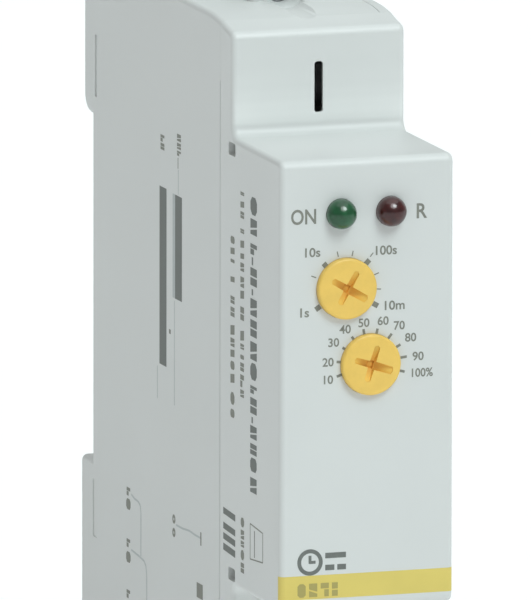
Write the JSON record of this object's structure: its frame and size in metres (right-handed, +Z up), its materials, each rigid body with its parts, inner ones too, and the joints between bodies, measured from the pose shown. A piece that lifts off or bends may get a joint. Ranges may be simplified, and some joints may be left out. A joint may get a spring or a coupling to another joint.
{
  "type": "din rail timer",
  "caption": "Slim modular time relay for a 35 mm rail: stepped grey housing with two cross-slotted dials, two indicator lamps, screw terminals and a spring-loaded rail clip.",
  "frame": {"origin": "centre of the plane at the back of the housing that rests on the face of the 35 mm rail, in the middle of the rail recess and of the module's width", "axes": "+Z up along the body, across the rail; +X along the rail, to the right as seen from the front; +Y back, towards the rail, so the front with the dials looks along -Y"},
  "size_m": [0.018, 0.0658, 0.0922],
  "materials": {
    "grey_plastic": "fine-textured light grey moulded thermoplastic",
    "clip_plastic": "light grey moulded thermoplastic, a little glossier from sliding",
    "yellow_plastic": "warm yellow moulded plastic, satin",
    "board": "green solder mask over glass-fibre laminate",
    "potentiometer_blue": "moulded blue housing",
    "green_lens": "tinted clear epoxy, unlit",
    "red_lens": "tinted clear epoxy, unlit",
    "plated_steel": "zinc-plated steel",
    "copper": "copper strip and enamelled copper wire",
    "brass": "spring brass",
    "spring_steel": "plain steel",
    "bobbin_plastic": "cream moulded plastic",
    "red_resin": "dipped resin",
    "blue_resin": "dipped resin or sleeve",
    "black_plastic": "black moulded plastic"
  },
  "bodies": {
    "housing": {"main_housing": "grey_plastic", "side_cover": "grey_plastic", "front_cover": "grey_plastic", "main_circuit_board": "board", "front_circuit_board": "board", "board_link_header": "black_plastic", "range_potentiometer": "potentiometer_blue", "fine_potentiometer": "potentiometer_blue", "power_led_green": "green_lens", "relay_led_red": "red_lens", "relay_case": "black_plastic", "relay_base": "black_plastic", "relay_bobbin": "bobbin_plastic", "relay_winding": "copper", "relay_core": "spring_steel", "relay_yoke": "spring_steel", "relay_contact_nc": "brass", "relay_contact_no": "brass", "electrolytic_capacitor": "blue_resin", "film_capacitor": "red_resin", "varistor": "blue_resin", "bridge_rectifier": "black_plastic", "controller_chip": "black_plastic", "clip_spring": "spring_steel", "contact_bar_top_left": "copper", "contact_bar_top_right": "copper", "contact_bar_top_middle": "copper", "contact_bar_bottom_left": "copper", "contact_bar_bottom_right": "copper", "contact_bar_bottom_middle": "copper"},
    "range_knob": {"range_dial": "yellow_plastic"},
    "fine_knob": {"fine_dial": "yellow_plastic"},
    "rail_clip": {"din_clip": "clip_plastic"},
    "armature": {"relay_armature": "spring_steel", "relay_moving_contact": "brass"},
    "screw_top_left": {"terminal_screw_top_left": "plated_steel"},
    "cage_top_left": {"clamp_cage_top_left": "plated_steel"},
    "screw_top_right": {"terminal_screw_top_right": "plated_steel"},
    "cage_top_right": {"clamp_cage_top_right": "plated_steel"},
    "screw_top_middle": {"terminal_screw_top_middle": "plated_steel"},
    "cage_top_middle": {"clamp_cage_top_middle": "plated_steel"},
    "screw_bottom_left": {"terminal_screw_bottom_left": "plated_steel"},
    "cage_bottom_left": {"clamp_cage_bottom_left": "plated_steel"},
    "screw_bottom_right": {"terminal_screw_bottom_right": "plated_steel"},
    "cage_bottom_right": {"clamp_cage_bottom_right": "plated_steel"},
    "screw_bottom_middle": {"terminal_screw_bottom_middle": "plated_steel"},
    "cage_bottom_middle": {"clamp_cage_bottom_middle": "plated_steel"}
  },
  "joints": [
    {"name": "range_dial_turn", "type": "hinge", "parent": "housing", "child": "range_knob", "pos_m": [-0.0022, -0.061, 0.0096], "axis": [0, -1, 0], "range_deg": [0, 240]},
    {"name": "fine_dial_turn", "type": "hinge", "parent": "housing", "child": "fine_knob", "pos_m": [0.0003, -0.061, 0.0019], "axis": [0, -1, 0], "range_deg": [0, 216]},
    {"name": "rail_clip_slide", "type": "slide", "parent": "housing", "child": "rail_clip", "axis": [0, 0, -1], "range_m": [0, 0.004], "stiffness_N_per_m": 1500, "deforming": ["clip_spring"]},
    {"name": "relay_armature_tilt", "type": "hinge", "parent": "housing", "child": "armature", "pos_m": [0.0016, -0.0096, 0.0063], "axis": [1, 0, 0], "range_deg": [0, 3], "stiffness_Nm_per_rad": 0.02},
    {"name": "screw_top_left_turn", "type": "hinge", "parent": "housing", "child": "screw_top_left", "pos_m": [-0.0047, -0.0254, 0.0399], "axis": [0, 1, 0], "range_deg": [0, 2016]},
    {"name": "cage_top_left_lift", "type": "slide", "parent": "housing", "child": "cage_top_left", "axis": [0, -1, 0], "range_m": [0, 0.0028]},
    {"name": "screw_top_right_turn", "type": "hinge", "parent": "housing", "child": "screw_top_right", "pos_m": [0.0047, -0.0254, 0.0399], "axis": [0, 1, 0], "range_deg": [0, 2016]},
    {"name": "cage_top_right_lift", "type": "slide", "parent": "housing", "child": "cage_top_right", "axis": [0, -1, 0], "range_m": [0, 0.0028]},
    {"name": "screw_top_middle_turn", "type": "hinge", "parent": "housing", "child": "screw_top_middle", "pos_m": [0, -0.032, 0.0348], "axis": [0, 1, 0], "range_deg": [0, 2016]},
    {"name": "cage_top_middle_lift", "type": "slide", "parent": "housing", "child": "cage_top_middle", "axis": [0, -1, 0], "range_m": [0, 0.0028]},
    {"name": "screw_bottom_left_turn", "type": "hinge", "parent": "housing", "child": "screw_bottom_left", "pos_m": [-0.0047, -0.0254, -0.0399], "axis": [0, 1, 0], "range_deg": [0, 2016]},
    {"name": "cage_bottom_left_lift", "type": "slide", "parent": "housing", "child": "cage_bottom_left", "axis": [0, -1, 0], "range_m": [0, 0.0028]},
    {"name": "screw_bottom_right_turn", "type": "hinge", "parent": "housing", "child": "screw_bottom_right", "pos_m": [0.0047, -0.0254, -0.0399], "axis": [0, 1, 0], "range_deg": [0, 2016]},
    {"name": "cage_bottom_right_lift", "type": "slide", "parent": "housing", "child": "cage_bottom_right", "axis": [0, -1, 0], "range_m": [0, 0.0028]},
    {"name": "screw_bottom_middle_turn", "type": "hinge", "parent": "housing", "child": "screw_bottom_middle", "pos_m": [0, -0.032, -0.0348], "axis": [0, 1, 0], "range_deg": [0, 2016]},
    {"name": "cage_bottom_middle_lift", "type": "slide", "parent": "housing", "child": "cage_bottom_middle", "axis": [0, -1, 0], "range_m": [0, 0.0028]}
  ],
  "couplings": [
    {"joint": "screw_top_left_turn", "follows": "cage_top_left_lift", "rad_per_m": 12566},
    {"joint": "screw_top_right_turn", "follows": "cage_top_right_lift", "rad_per_m": 12566},
    {"joint": "screw_top_middle_turn", "follows": "cage_top_middle_lift", "rad_per_m": 12566},
    {"joint": "screw_bottom_left_turn", "follows": "cage_bottom_left_lift", "rad_per_m": 12566},
    {"joint": "screw_bottom_right_turn", "follows": "cage_bottom_right_lift", "rad_per_m": 12566},
    {"joint": "screw_bottom_middle_turn", "follows": "cage_bottom_middle_lift", "rad_per_m": 12566}
  ]
}
